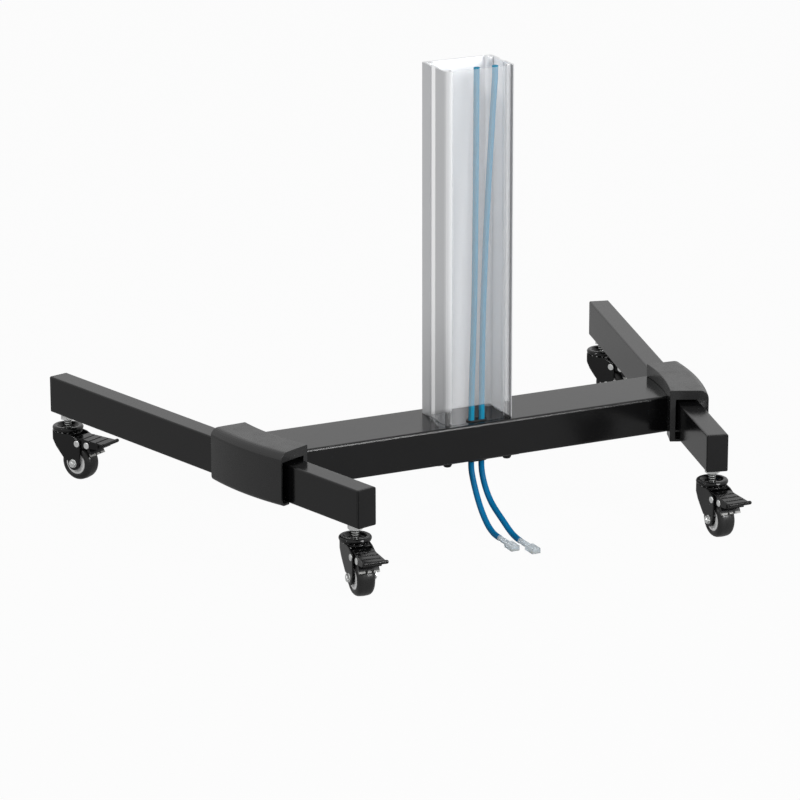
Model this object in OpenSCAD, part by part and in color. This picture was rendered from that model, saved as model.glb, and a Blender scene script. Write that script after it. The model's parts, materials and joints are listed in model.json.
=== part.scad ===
// Wheeled base of a television stand, with the lower length of its column.
// Millimetres, +Z up. The floor is z = 0, -Y is the front and X runs along the crossbeam.
// The stand is symmetric in X. Only the way that each caster has swung differs.

/* [Placing] */
// Shift of the stand in X, so that the origin is the middle of its box
base_x = -13.5; // [-20:0.5:20]
// Shift of the crossbeam in Y, so that the origin is the middle of its box
base_y = -63.5; // [-120:0.5:0]

/* [Legs and crossbeam] */
// Height of the leg and crossbeam tubes
frame_h = 50; // [44:1:60]
// Width of a leg tube
leg_w = 28.5; // [26:0.5:34]
// Wall of a leg tube
leg_wall = 2; // [1.5:0.25:3]
// Outer corner radius of a leg tube
leg_corner = 1.8; // [1:0.2:3]
// Length of a leg in front of the crossbeam's middle, along the leg
leg_front = 233.7; // [200:1:280]
// Length of a leg behind the crossbeam's middle, along the leg
leg_back = 417.3; // [340:1:480]
// Angle by which each leg opens towards the back
leg_splay = 14.75; // [10:0.25:18]
// Distance between the leg centre lines, at the middle of the crossbeam
leg_gap = 620.4; // [560:1:700]
// Width of the crossbeam, front to back
beam_w = 96; // [90:1:110]
// Wall of the crossbeam tube
beam_wall = 2.5; // [2:0.25:3.5]
// Outer corner radius of the crossbeam tube
beam_corner = 3.6; // [3:0.2:5]
// Thickness of the plates welded into the crossbeam's ends
end_plate_t = 4; // [3:0.5:6]
// Thickness of the plastic plug's face at each leg end
end_cap_t = 3; // [2:0.5:5]
// Depth of the plug inside the leg
end_cap_depth = 6.5; // [5:0.5:7]
// Wall of the plug inside the leg
end_cap_wall = 2; // [1.5:0.25:3]

/* [Bolts] */
// Thread diameter of the bolts that hold a leg to the crossbeam
leg_bolt_d = 8; // [6:1:10]
// Distance between the two bolts of a leg
leg_bolt_pitch = 58; // [50:1:66]
// Thread diameter of the bolts that hold the column
column_bolt_d = 6; // [5:0.5:7]
// Length of the column bolts inside the column's screw ports
column_bolt_grip = 20; // [12:1:30]
// Radial clearance of a bolt in its tapped hole
thread_clear = 0.05; // [0.02:0.01:0.1]
// Radial clearance of a bolt in a plain hole
hole_clear = 0.4; // [0.2:0.1:0.6]

/* [Joint covers] */
// Outer radius of a cover, seen from above
cover_r = 410; // [380:5:440]
// Width of a cover across the leg
cover_w = 51; // [49:0.5:54]
// Distance from the leg's centre line to the middle of the cover's outer face
cover_reach = 31.5; // [30:0.5:34]
// Place of the cover's middle along the leg, from the crossbeam's middle
cover_shift = -22.7; // [-26:0.1:-18]
// Half of the angle that a cover spans about its centre
cover_half_angle = 10.1; // [9.6:0.1:11]
// Height of a cover above the leg
cover_crown = 17; // [14:0.5:22]
// Wall of a cover
cover_wall = 2.5; // [2:0.25:3]
// Height of the end web above the leg tunnel
cover_web_h = 12.5; // [9:0.5:13]
// Thickness of the end webs, along the leg
cover_web_t = 3; // [2:0.5:5]
// Gap between the leg and the cover's inner wall at the tunnel
cover_tunnel_gap = 3.4; // [2:0.2:4]
// Radius of the cover's outer top edge
cover_top_r = 11; // [8:0.5:12]
// Radius of the cover's outer bottom edge
cover_hook_r = 6; // [4:0.5:7]
// Distance from the cover's lowest edge to the bottom of the leg
cover_drop = 3.5; // [3:0.25:5]
// Thickness of the hooks under the leg
cover_hook_t = 3; // [2:0.25:3.2]
// How far each hook reaches under the leg
cover_hook_reach = 4; // [2:0.5:6]
// Clearance of a cover over the crossbeam and under the leg
cover_clear = 0.4; // [0.3:0.05:0.6]

/* [Column] */
// Width of the column
col_w = 100; // [90:1:110]
// Depth of the column, front to back
col_d = 70; // [64:1:76]
// Distance from the crossbeam's middle to the column's back face
col_back = 30; // [27:1:36]
// Height of the column above the crossbeam, up to its open end
col_h = 471; // [300:1:700]
// Wall of the column
col_wall = 2.5; // [2:0.1:3.5]
// Radius of the column's two front corners
col_front_r = 8.5; // [6:0.5:12]
// Radius of the column's two back corners
col_back_r = 1.2; // [0.8:0.1:3]
// Width of the groove in each side of the column
groove_w = 16; // [12:0.5:20]
// Depth of the groove
groove_d = 2; // [1:0.25:3]
// Distance from the column's back face to the groove's middle
groove_back = 31.2; // [28:0.2:36]
// Distance from the column's side to the middle of a screw port
port_side = 6.5; // [6:0.25:8]
// Distance from the column's front face to the middle of a front screw port
port_front = 7.5; // [7:0.25:9]
// Distance from the column's back face to the middle of a back screw port
port_rear = 7; // [6:0.25:8]
// Wall of a screw port
port_wall = 2.3; // [1.8:0.1:2.6]
// Length of the tapped hole at the foot of a screw port
port_tap_l = 30; // [24:1:60]
// How much narrower in radius a screw port is above its tapped foot
port_core_step = 0.35; // [0.2:0.05:0.6]
// Thickness of the plate under the crossbeam
foot_plate_t = 3; // [2:0.5:5]
// Length of the plate under the crossbeam
foot_plate_w = 122; // [112:1:140]
// Depth of the plate under the crossbeam
foot_plate_d = 66; // [60:1:70]

/* [Cables] */
// Diameter of a cable
cable_d = 8; // [6:0.5:9]
// Distance from the crossbeam's middle to the cable passage
cable_front = 30; // [26:0.5:32]
// Distance between the two cables in the crossbeam
cable_pitch = 15; // [13:0.5:20]
// Clearance between a cable and its grommet
cable_clear = 0.3; // [0.2:0.1:0.6]
// Wall of a grommet
grommet_wall = 1.2; // [1:0.1:1.5]
// Width of a grommet's flange
grommet_flange = 1.5; // [1:0.25:1.75]
// Thickness of a grommet's flange
grommet_flange_t = 1.5; // [1:0.25:2]
// Length of a cable plug
plug_l = 21; // [18:0.5:26]
// Width of a cable plug
plug_w = 11.7; // [11:0.1:14]
// Height of a cable plug
plug_h = 7.9; // [7:0.1:8]
// Length of the boot behind a plug
boot_l = 24; // [18:1:32]

/* [Casters] */
// Distance from the floor to the bottom of the legs
caster_h = 89; // [86:0.5:92]
// Wheel diameter
wheel_d = 50; // [47:0.5:51]
// Width of the tyre
tyre_w = 24; // [20:0.5:25]
// Radius of the tyre's shoulders
tyre_shoulder = 7; // [5:0.5:7.5]
// Outer diameter of the pale ring in the wheel
rim_d = 31.4; // [28:0.5:33]
// Inner diameter of the pale ring in the wheel
rim_bore_d = 18; // [16:0.5:20]
// Width across the two faces of the pale ring
rim_w = 22.4; // [20:0.2:22.8]
// Diameter of the hub's end bosses
hub_boss_d = 12; // [10:0.5:14]
// Distance from the swivel axis to the wheel axle
trail = 21; // [18:0.5:23]
// Outer width of the fork
fork_w = 31.8; // [30:0.5:36]
// Thickness of the fork plates
fork_t = 2; // [1.5:0.25:2.5]
// Radius of the fork's boss round the axle
fork_boss_r = 9.5; // [8.5:0.25:10]
// Radius of the fork's round back
fork_round_r = 21.2; // [20.5:0.1:22]
// Distance from the bottom of the legs to the fork's crown
crown_drop = 23.4; // [23:0.1:24]
// Thickness of the fork's crown
crown_t = 3.2; // [2.6:0.1:3.6]
// Radius of the crown's front edge
crown_r = 19.5; // [19:0.1:20]
// Radius of the swivel cap
cap_r = 21.1; // [20:0.1:22]
// Height of the swivel cap's rim
cap_h = 6; // [5:0.25:6.5]
// Thickness of the swivel cap's floor
cap_floor_t = 2; // [1.5:0.25:2.5]
// Width of the slope between the swivel cap's rim and its floor
cap_slope_w = 3.4; // [2.5:0.1:4]
// Running gap between the swivel cap and the crown
swivel_gap = 1.1; // [0.8:0.1:1.4]
// Thread diameter of the caster stem
stem_d = 10; // [8:1:12]
// Height of the nuts on the caster stem
stem_nut_h = 8; // [6:0.5:9]
// Diameter of the kingpin below the swivel cap
kingpin_d = 8; // [7:0.5:9]
// Length of the kingpin below the crown, down to its washer
kingpin_reach = 4.4; // [3.6:0.2:5]
// Radial clearance of every turning shaft in its bore
run_clear = 0.08; // [0.03:0.01:0.1]
// Distance from a leg's front end to its caster's stem
stem_inset_front = 24; // [22:1:28]
// Distance from a leg's back end to its caster's stem
stem_inset_back = 20; // [20:1:28]
// Radius of the circle that the bearing balls run on
race_r = 17; // [16.5:0.1:17.2]
// Diameter of the bearing balls
ball_d = 3; // [2.5:0.25:3.2]
// Number of bearing balls in a caster
ball_count = 14; // [10:1:16]
// Clearance round a bearing ball
ball_clear = 0.3; // [0.3:0.05:0.4]
// Diameter of the wheel axle
axle_d = 6; // [5:0.5:7]
// Diameter of the pins of the brake pedal
pin_d = 5; // [4:0.5:5.5]
// Diameter of the flat heads of those pins
pin_head_d = 9; // [8:0.5:10]
// Thickness of the flat heads of those pins
pin_head_t = 1.3; // [0.8:0.1:1.6]
// Distance from the swivel axis to the pedal's hinge pin
pedal_pin_a = 28; // [27:0.5:29]
// Distance from the bottom of the legs to the pedal's hinge pin
pedal_pin_drop = 35; // [34:0.5:36]
// Distance from the swivel axis to the brake shoe's rivet
shoe_pin_a = 43; // [42.5:0.25:43.5]
// Distance from the bottom of the legs to the brake shoe's rivet
shoe_pin_drop = 35.5; // [35:0.25:36]
// Distance from the swivel axis to the middle of the pedal's lip
lip_a = 73.4; // [70:0.5:76]
// Distance from the bottom of the legs to the middle of the pedal's lip
lip_drop = 29.5; // [29:0.25:30]
// Length of the pedal's lip
lip_w = 35; // [30:1:40]
// Thickness of the pedal's lip
lip_d = 5; // [4:0.25:6]
// Thickness of the pedal's plate and cheeks
pedal_t = 1.8; // [1.5:0.1:2.2]
// Gap between the pedal's cheeks and the fork plates
pedal_gap = 0.5; // [0.4:0.1:0.8]
// Number of ribs across the pedal
pedal_ribs = 3; // [2:1:5]
// Gap between the brake shoe and the tyre with the brake off
shoe_gap = 6.5; // [6.2:0.1:7]
// Thickness of the brake shoe's curved wall
shoe_t = 4; // [3:0.25:4.5]
// Width of the brake shoe
shoe_w = 27; // [25:0.5:28]
// Direction of trail of the back left caster, from +X
swing_back_left = 298.7; // [0:0.1:360]
// Direction of trail of the front left caster, from +X
swing_front_left = 264.7; // [0:0.1:360]
// Direction of trail of the back right caster, from +X
swing_back_right = 296; // [0:0.1:360]
// Direction of trail of the front right caster, from +X
swing_front_right = 269.1; // [0:0.1:360]

/* [Hidden] */
$fn = 48;
corner_steps = 6;
eps = 0.01;

CORNERS = ["front_left", "front_right", "back_left", "back_right"];
WHEEL_NODES = ["fork", "axle", "hub", "rim", "tyre", "pedal", "brake_shoe", "pedal_pin", "shoe_rivet"];

// Frame
leg_z = caster_h;
frame_top = leg_z + frame_h;
col_top = frame_top + col_h;
col_front = col_back - col_d;
weld_gap = 0.05;

// X of the crossbeam's end face at a given distance behind its middle
function beam_end_x(y) = leg_gap / 2 - leg_w / 2 / cos(leg_splay) + y * tan(leg_splay);

// Point on a leg's centre line, s behind the crossbeam's middle along the leg
function leg_point(side, s) =
    [base_x + side * (leg_gap / 2 + s * sin(leg_splay)), base_y + s * cos(leg_splay)];

// Casters: [side, place along the leg, direction of trail] of each corner
CASTER_AT = [
    [-1, -leg_front + stem_inset_front, swing_front_left],
    [1, -leg_front + stem_inset_front, swing_front_right],
    [-1, leg_back - stem_inset_back, swing_back_left],
    [1, leg_back - stem_inset_back, swing_back_right]
];

// Cover
cover_r_in = cover_r - cover_w;
cover_centre = [cover_reach - cover_r, cover_shift];
cover_top = frame_h + cover_crown;
cover_tunnel_top = cover_top - cover_web_h;
cover_rib_angle = cover_half_angle / 3;

// Bolts and nuts, in proportion to their threads
leg_bolt_head_h = 0.66 * leg_bolt_d;
leg_bolt_head_d = 1.6 * leg_bolt_d * 1.1547;
leg_nut_h = 0.8 * leg_bolt_d;
washer_t = 1.6;
washer_d = 2 * leg_bolt_d;
leg_bolt_mid = -leg_w / 2 * tan(leg_splay);
column_bolt_head_d = 2.1 * column_bolt_d;
column_bolt_head_h = 0.75 * column_bolt_d;

// Column
port_r = column_bolt_d / 2 + thread_clear;
port_x = col_w / 2 - port_side;
port_front_y = col_front + port_front;
port_back_y = col_back - port_rear;
foot_plate_y = (port_front_y + port_back_y) / 2;

// Caster heights, below the leg
wheel_r = wheel_d / 2;
axle_z = wheel_r - caster_h;
crown_top = -crown_drop;
crown_bottom = crown_top - crown_t;
cap_bottom = crown_top + swivel_gap;
cap_top = cap_bottom + cap_h;
race_z = (cap_bottom + crown_top) / 2;
race_groove_r = ball_d / 2 + ball_clear;
kingpin_foot = crown_bottom - kingpin_reach;
stem_nut_d = 1.7 * stem_d * 1.1547;
stem_top = 1.4 * stem_d;
fork_in = fork_w / 2 - fork_t;
axle_head_d = 1.67 * axle_d * 1.1547;
axle_head_h = 0.6 * axle_d;
cheek_out = fork_in - pedal_gap;
cheek_in = cheek_out - pedal_t;
pedal_pin = [pedal_pin_a, -pedal_pin_drop];
shoe_pin = [shoe_pin_a, -shoe_pin_drop];
lip = [lip_a, -lip_drop];
plate_start = [crown_r + 4.5, crown_bottom - 0.6];
plate_end = [lip_a - lip_d / 2 + 0.6, 0.7 - lip_drop];
shoe_r_in = wheel_r + shoe_gap;
shoe_r_out = shoe_r_in + shoe_t;

// Cables: each route is one smooth line that leads from the column's open end to the plug
cable_r = cable_d / 2;
cable_sides = 10;
passage_w = cable_pitch + cable_d + 2 * cable_clear;
passage_d = cable_d + 2 * cable_clear;
grommet_hole_w = passage_w + 2 * grommet_wall;
grommet_hole_d = passage_d + 2 * grommet_wall;
riser_left = [
    [-1.4, -29.5, col_top], [-1.4, -29.5, col_top - 14], [-1.7, -29.6, 500], [-2.6, -29.8, 380],
    [-3.6, -29.9, 300], [-5.4, -30, 230], [-7, -30, 180], [-7.5, -30, 140], [-7.5, -30, 110],
    [-7.5, -30, leg_z - 6]
];
riser_right = [
    [25, -29.5, col_top], [25, -29.5, col_top - 14], [22.6, -29.6, 560], [17.6, -29.8, 480],
    [12.4, -29.9, 380], [9.2, -30, 289], [8, -30, 220], [7.5, -30, 160], [7.5, -30, 110],
    [7.5, -30, leg_z - 6]
];
tail_left = [
    [-7.5, -30, leg_z - 6], [-7.5, -30, 80], [-7.5, -30.6, 74], [-7.6, -32.6, 67.5],
    [-7.7, -36, 60.5], [-7.8, -40.4, 53], [-7.9, -45.6, 45], [-8, -51.6, 36.8], [-8.1, -58.6, 28.6],
    [-8.2, -66.6, 21], [-8.4, -76, 14], [-8.6, -86, 8.6], [-8.8, -97, 5.2], [-9, -107, 4.1],
    [-9, -116, 4]
];
tail_right = [
    [7.5, -30, leg_z - 6], [7.5, -30, 80], [7.5, -30.4, 74], [7.5, -32, 67], [7.6, -34.8, 60],
    [7.7, -38.8, 53], [7.8, -44, 46], [7.9, -50.4, 39.4], [8, -58, 33.4], [8.2, -66.8, 28.2],
    [8.4, -76.6, 23.6], [8.7, -87, 19], [9, -97, 14.4], [9.3, -107, 10], [9.6, -117, 6.6],
    [9.9, -127, 4.7], [10, -137, 4]
];

// Helpers

// Points on an arc about c, from angle a0 to a1
function arc(c, r, a0, a1, n = corner_steps) =
    [for (i = [0:n]) c + r * [cos(a0 + (a1 - a0) * i / n), sin(a0 + (a1 - a0) * i / n)]];

// Outline of a rectangle from p0 to p1 with rounded corners, anticlockwise
function round_rect(p0, p1, r) = concat(
    arc([p1[0] - r, p1[1] - r], r, 0, 90),
    arc([p0[0] + r, p1[1] - r], r, 90, 180),
    arc([p0[0] + r, p0[1] + r], r, 180, 270),
    arc([p1[0] - r, p0[1] + r], r, 270, 360)
);

// Outline of a slot of width w and depth d, centred on c
function slot(c, w, d) = concat(
    arc([c[0] + (w - d) / 2, c[1]], d / 2, -90, 90, 2 * corner_steps),
    arc([c[0] - (w - d) / 2, c[1]], d / 2, 90, 270, 2 * corner_steps)
);

function unit(v) = v / norm(v);
function mirror_x(points) = [for (i = [len(points) - 1:-1:0]) [-points[i][0], points[i][1]]];

// Tube of radius r that follows a route, which runs mostly in Y and Z
module sweep(route, r, sides) {
    last = len(route) - 1;
    along = [for (i = [0:last])
        unit(route[min(i + 1, last)] - route[max(i - 1, 0)])];
    rings = [for (i = [0:last], k = [0:sides - 1])
        let (across = unit(cross(along[i], [1, 0, 0])), over = cross(across, along[i]))
        route[i] + r * (cos(360 * k / sides) * across + sin(360 * k / sides) * over)];
    walls = [for (i = [0:last - 1], k = [0:sides - 1])
        let (n = (k + 1) % sides)
        [i * sides + k, (i + 1) * sides + k, (i + 1) * sides + n, i * sides + n]];
    split = [for (q = walls, t = [[q[0], q[1], q[2]], [q[0], q[2], q[3]]]) t];
    first_end = [[for (k = [0:sides - 1]) k]];
    last_end = [[for (k = [sides - 1:-1:0]) last * sides + k]];
    polyhedron(rings, concat(split, first_end, last_end));
}

module hexagon(d, h) cylinder(h = h, d = d, $fn = 6);

// The stand's own axes: x = 0 is its mirror plane and y = 0 the crossbeam's middle
module on_base() translate([base_x, base_y, 0]) children();

// A leg's axes: +Y runs back along the leg and +X points outwards
module on_leg() translate([leg_gap / 2, 0, leg_z]) rotate([0, 0, -leg_splay]) children();

module sided(side) {
    if (side > 0) children();
    else mirror([1, 0, 0]) children();
}

// Something at every caster's stem, with z = 0 at the bottom of the leg
module at_stems() {
    for (c = CASTER_AT)
        translate(concat(leg_point(c[0], c[1]), leg_z)) rotate([0, 0, c[2]]) children();
}

// One caster's axes: +X is its direction of trail
module on_caster(i) {
    c = CASTER_AT[i];
    translate(concat(leg_point(c[0], c[1]), leg_z)) rotate([0, 0, c[2]]) children();
}

// Extrude a side view, drawn as [along the trail, height], across the caster
module side_plate(from, to)
    translate([0, to, 0]) rotate([90, 0, 0]) linear_extrude(to - from) children();

// Something round the wheel axle, drawn as a revolved profile
module on_axle() translate([trail, 0, axle_z]) rotate([90, 0, 0]) children();

// Legs and crossbeam

module leg(side) {
    tube_l = leg_front + leg_back - 2 * end_cap_t;
    stem_places = [-leg_front + stem_inset_front, leg_back - stem_inset_back];
    color("#2e2e2f") on_base() sided(side) on_leg() difference() {
        translate([0, leg_back - end_cap_t, 0]) rotate([90, 0, 0]) linear_extrude(tube_l)
            difference() {
                polygon(round_rect([-leg_w / 2, 0], [leg_w / 2, frame_h], leg_corner));
                polygon(round_rect([-leg_w / 2 + leg_wall, leg_wall],
                                   [leg_w / 2 - leg_wall, frame_h - leg_wall], leg_corner / 2));
            }
        for (s = stem_places)
            translate([0, s, -eps]) cylinder(h = leg_wall + 2 * eps, d = stem_d + 2 * hole_clear);
        for (k = [-1, 1])
            translate([-leg_w, leg_bolt_mid + k * leg_bolt_pitch / 2, frame_h / 2])
                rotate([0, 90, 0]) cylinder(h = 2 * leg_w, d = leg_bolt_d + 2 * hole_clear);
    }
}

module end_cap() {
    bevel = 1;
    fit = 0.1;
    plug_x = leg_w / 2 - leg_wall - fit;
    // Face of the cap, bevelled towards the outside
    rotate([90, 0, 0]) linear_extrude(end_cap_t - bevel)
        polygon(round_rect([-leg_w / 2, 0], [leg_w / 2, frame_h], leg_corner));
    translate([0, bevel - end_cap_t, 0]) rotate([90, 0, 0]) linear_extrude(bevel)
        polygon(round_rect([-leg_w / 2 + bevel / 2, bevel / 2],
                           [leg_w / 2 - bevel / 2, frame_h - bevel / 2], leg_corner));
    // Hollow plug that grips inside the tube
    translate([0, end_cap_depth, 0]) rotate([90, 0, 0]) linear_extrude(end_cap_depth)
        difference() {
            polygon(round_rect([-plug_x, leg_wall + fit], [plug_x, frame_h - leg_wall - fit], 1));
            polygon(round_rect([-plug_x + end_cap_wall, leg_wall + fit + end_cap_wall],
                               [plug_x - end_cap_wall, frame_h - leg_wall - fit - end_cap_wall], 1));
        }
}

module leg_end_caps() {
    color("#262627") on_base() for (side = [-1, 1]) sided(side) on_leg() {
        translate([0, -leg_front + end_cap_t, 0]) end_cap();
        translate([0, leg_back - end_cap_t, 0]) rotate([0, 0, 180]) end_cap();
    }
}

module crossbeam_plan(shorten = 0, width = beam_w) {
    front_x = beam_end_x(-width / 2) - shorten;
    back_x = beam_end_x(width / 2) - shorten;
    polygon([[-front_x, -width / 2], [front_x, -width / 2], [back_x, width / 2], [-back_x, width / 2]]);
}

module crossbeam() {
    half = beam_end_x(beam_w / 2);
    color("#2a2a2b") on_base() difference() {
        intersection() {
            translate([-half, 0, leg_z]) rotate([90, 0, 90]) linear_extrude(2 * half)
                difference() {
                    polygon(round_rect([-beam_w / 2, 0], [beam_w / 2, frame_h], beam_corner));
                    polygon(round_rect([-beam_w / 2 + beam_wall, beam_wall],
                                       [beam_w / 2 - beam_wall, frame_h - beam_wall],
                                       beam_corner - beam_wall + 0.4));
                }
            translate([0, 0, leg_z - 1]) linear_extrude(frame_h + 2) crossbeam_plan();
        }
        for (x = [-port_x, port_x], y = [port_front_y, port_back_y])
            translate([x, y, leg_z - 1])
                cylinder(h = frame_h + 2, d = column_bolt_d + 2 * hole_clear);
        translate([0, 0, leg_z - 1]) linear_extrude(frame_h + 2)
            polygon(slot([0, -cable_front], grommet_hole_w, grommet_hole_d));
    }
}

module beam_end_plates() {
    inner_w = beam_w - 2 * beam_wall - 2 * weld_gap;
    plate_run = end_plate_t / cos(leg_splay);
    nut_w = -leg_w / 2 - end_plate_t;
    color("#3a3a3b") on_base() for (side = [-1, 1]) sided(side) difference() {
        union() {
            translate([0, 0, leg_z + beam_wall + weld_gap])
                linear_extrude(frame_h - 2 * beam_wall - 2 * weld_gap)
                polygon([
                    [beam_end_x(-inner_w / 2) - plate_run, -inner_w / 2],
                    [beam_end_x(-inner_w / 2), -inner_w / 2],
                    [beam_end_x(inner_w / 2), inner_w / 2],
                    [beam_end_x(inner_w / 2) - plate_run, inner_w / 2]
                ]);
            on_leg() for (k = [-1, 1])
                translate([nut_w + eps, leg_bolt_mid + k * leg_bolt_pitch / 2, frame_h / 2])
                    rotate([0, -90, 0]) hexagon(leg_bolt_head_d, leg_nut_h);
        }
        on_leg() for (k = [-1, 1])
            translate([nut_w - leg_nut_h - 1, leg_bolt_mid + k * leg_bolt_pitch / 2, frame_h / 2])
                rotate([0, 90, 0])
                cylinder(h = end_plate_t + leg_nut_h + 2, d = leg_bolt_d + 2 * thread_clear);
    }
}

module leg_bolt() {
    // Washer and hexagon head outside the leg, threaded end in the crossbeam's nut
    shank = leg_w + washer_t + end_plate_t + leg_nut_h + 1;
    difference() {
        translate([leg_w / 2, 0, 0]) rotate([0, 90, 0]) cylinder(h = washer_t, d = washer_d);
        translate([leg_w / 2 - 1, 0, 0]) rotate([0, 90, 0])
            cylinder(h = washer_t + 2, d = leg_bolt_d + 2 * thread_clear);
    }
    translate([leg_w / 2 + washer_t, 0, 0]) rotate([0, 90, 0])
        hexagon(leg_bolt_head_d, leg_bolt_head_h);
    translate([leg_w / 2 + washer_t + eps, 0, 0]) rotate([0, -90, 0])
        cylinder(h = shank, d = leg_bolt_d);
}

module leg_bolts() {
    color("#b8babc") on_base() for (side = [-1, 1]) sided(side) on_leg() for (k = [-1, 1])
        translate([0, leg_bolt_mid + k * leg_bolt_pitch / 2, frame_h / 2]) leg_bolt();
}

// Joint covers

// A profile drawn as [radius, height], turned about the cover's centre
module cover_turn(half_angle)
    translate([cover_centre[0], cover_centre[1], 0]) rotate([0, 0, -half_angle])
        rotate_extrude(angle = 2 * half_angle, $fn = 180) children();

module cover_section() {
    edge = 1;
    polygon(concat(
        arc([cover_r - cover_hook_r, cover_hook_r - cover_drop], cover_hook_r, -90, 0),
        arc([cover_r - cover_top_r, cover_top - cover_top_r], cover_top_r, 0, 90),
        arc([cover_r_in + edge, cover_top - edge], edge, 90, 180, 3),
        arc([cover_r_in + edge, edge - cover_drop], edge, 180, 270, 3)
    ));
}

module cover_tunnel_section() {
    low = cover_hook_t - cover_drop;
    out = cover_r - cover_wall;
    hook_in = cover_hook_r - cover_wall;
    polygon(concat(
        arc([out - hook_in, low + hook_in], hook_in, -90, 0),
        [[out, cover_tunnel_top], [cover_r_in - cover_w, cover_tunnel_top], [cover_r_in - cover_w, low]]
    ));
}

module cover_pocket_section() {
    ledge = 0.5;
    out = cover_r - cover_wall - ledge;
    top = cover_top - cover_wall;
    top_in = cover_top_r - cover_wall - ledge;
    polygon(concat(
        [[out, cover_tunnel_top - 1]],
        arc([out - top_in, top - top_in], top_in, 0, 90),
        [[cover_r_in + cover_wall, top], [cover_r_in + cover_wall, cover_tunnel_top - 1]]
    ));
}

module joint_cover(side) {
    web_angle = atan(cover_web_t / cover_r_in);
    tunnel_in = -leg_w / 2 - cover_tunnel_gap;
    hook_end = leg_w / 2 - cover_hook_reach;
    rib_t = 2;
    rib_bottom = frame_h + cover_clear;
    notch_half = beam_w / 2 + cover_clear;
    color("#2b2b2c") on_base() sided(side) difference() {
        on_leg() {
            difference() {
                cover_turn(cover_half_angle) cover_section();
                // Tunnel that the leg runs through, with its side walls parallel to the leg
                intersection() {
                    cover_turn(cover_half_angle + 1) cover_tunnel_section();
                    translate([tunnel_in, -leg_front, -cover_drop])
                        cube([cover_w + cover_reach, leg_front + leg_back, cover_top]);
                }
                // Opening between the two hooks
                translate([-hook_end, -leg_front, -cover_drop - 1])
                    cube([2 * hook_end, leg_front + leg_back, cover_drop + 2]);
                // Hollow above the tunnel, between the end webs
                cover_turn(cover_half_angle - web_angle) cover_pocket_section();
            }
            // Ribs that rest on the leg
            for (k = [-1, 1])
                translate([cover_centre[0], cover_centre[1], 0]) rotate([0, 0, k * cover_rib_angle])
                    translate([cover_r_in + cover_w / 2 - leg_w / 2, -rib_t / 2, rib_bottom])
                    cube([leg_w, rib_t, cover_top - cover_wall - rib_bottom + eps]);
        }
        // Notch for the crossbeam, up to the leg's centre line
        translate([0, 0, leg_z - cover_drop - 1])
            linear_extrude(frame_h + cover_drop + 1 + cover_clear) polygon([
                [0, -notch_half], [leg_gap / 2 - notch_half * tan(leg_splay), -notch_half],
                [leg_gap / 2 + notch_half * tan(leg_splay), notch_half], [0, notch_half]
            ]);
    }
}

// Column

// Half of the column's outline, inset by i, from the middle of the back to the middle of the front
function column_half(i) = concat(
    arc([col_w / 2 - col_back_r, col_back - col_back_r], max(col_back_r - i, 0.2), 90, 0, 3)
        + [for (k = [0:3]) max(i - col_back_r + 0.2, 0) * [-1, -1]],
    [
        [col_w / 2 - i, col_back - groove_back + groove_w / 2 + i],
        [col_w / 2 - i - groove_d, col_back - groove_back + groove_w / 2 + i - 0.6],
        [col_w / 2 - i - groove_d, col_back - groove_back - groove_w / 2 - i + 0.6],
        [col_w / 2 - i, col_back - groove_back - groove_w / 2 - i]
    ],
    arc([col_w / 2 - col_front_r, col_front + col_front_r], col_front_r - i, 0, -90, 8)
);

module column_section() {
    difference() {
        polygon(concat(column_half(0), mirror_x(column_half(0))));
        polygon(concat(column_half(col_wall), mirror_x(column_half(col_wall))));
    }
}

module column() {
    color("#c4c6cc", 0.55) on_base() translate([0, 0, frame_top]) difference() {
        union() {
            linear_extrude(col_h) column_section();
            for (x = [-port_x, port_x], y = [port_front_y, port_back_y])
                translate([x, y, 0]) cylinder(h = col_h, r = port_r + port_wall);
        }
        for (x = [-port_x, port_x], y = [port_front_y, port_back_y]) {
            translate([x, y, -1]) cylinder(h = col_h + 2, r = port_r - port_core_step);
            translate([x, y, -1]) cylinder(h = port_tap_l + 1, r = port_r);
        }
    }
}

module foot_plate() {
    color("#262627") on_base() difference() {
        translate([0, foot_plate_y, leg_z - foot_plate_t]) linear_extrude(foot_plate_t)
            polygon(round_rect([-foot_plate_w / 2, -foot_plate_d / 2],
                               [foot_plate_w / 2, foot_plate_d / 2], 3));
        for (x = [-port_x, port_x], y = [port_front_y, port_back_y])
            translate([x, y, leg_z - foot_plate_t - 1])
                cylinder(h = foot_plate_t + 2, d = column_bolt_d + 2 * hole_clear);
        translate([0, 0, leg_z - foot_plate_t - 1]) linear_extrude(foot_plate_t + 2)
            polygon(slot([0, -cable_front], grommet_hole_w, grommet_hole_d));
    }
}

// Flanged button-head bolt that points up
module column_bolt() {
    socket_d = 0.6 * column_bolt_d;
    flange_h = 1;
    difference() {
        rotate_extrude() polygon(concat(
            [[0, 0], [0, -column_bolt_head_h]],
            [[column_bolt_head_d / 4, -column_bolt_head_h]],
            [for (t = [60:-15:0]) [
                column_bolt_head_d / 4 + (column_bolt_head_d / 4 - 0.5) * cos(t),
                -flange_h - (column_bolt_head_h - flange_h) * sin(t)
            ]],
            [[column_bolt_head_d / 2, -flange_h], [column_bolt_head_d / 2, 0]]
        ));
        translate([0, 0, -column_bolt_head_h - 1]) hexagon(socket_d * 1.1547, 1 + 0.5 * column_bolt_head_h);
    }
    translate([0, 0, -eps])
        cylinder(h = foot_plate_t + frame_h + column_bolt_grip, d = column_bolt_d);
}

module column_bolts() {
    color("#1c1c1d") on_base()
        for (x = [-port_x, port_x], y = [port_front_y, port_back_y])
        translate([x, y, leg_z - foot_plate_t]) column_bolt();
}

// Cables

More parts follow.
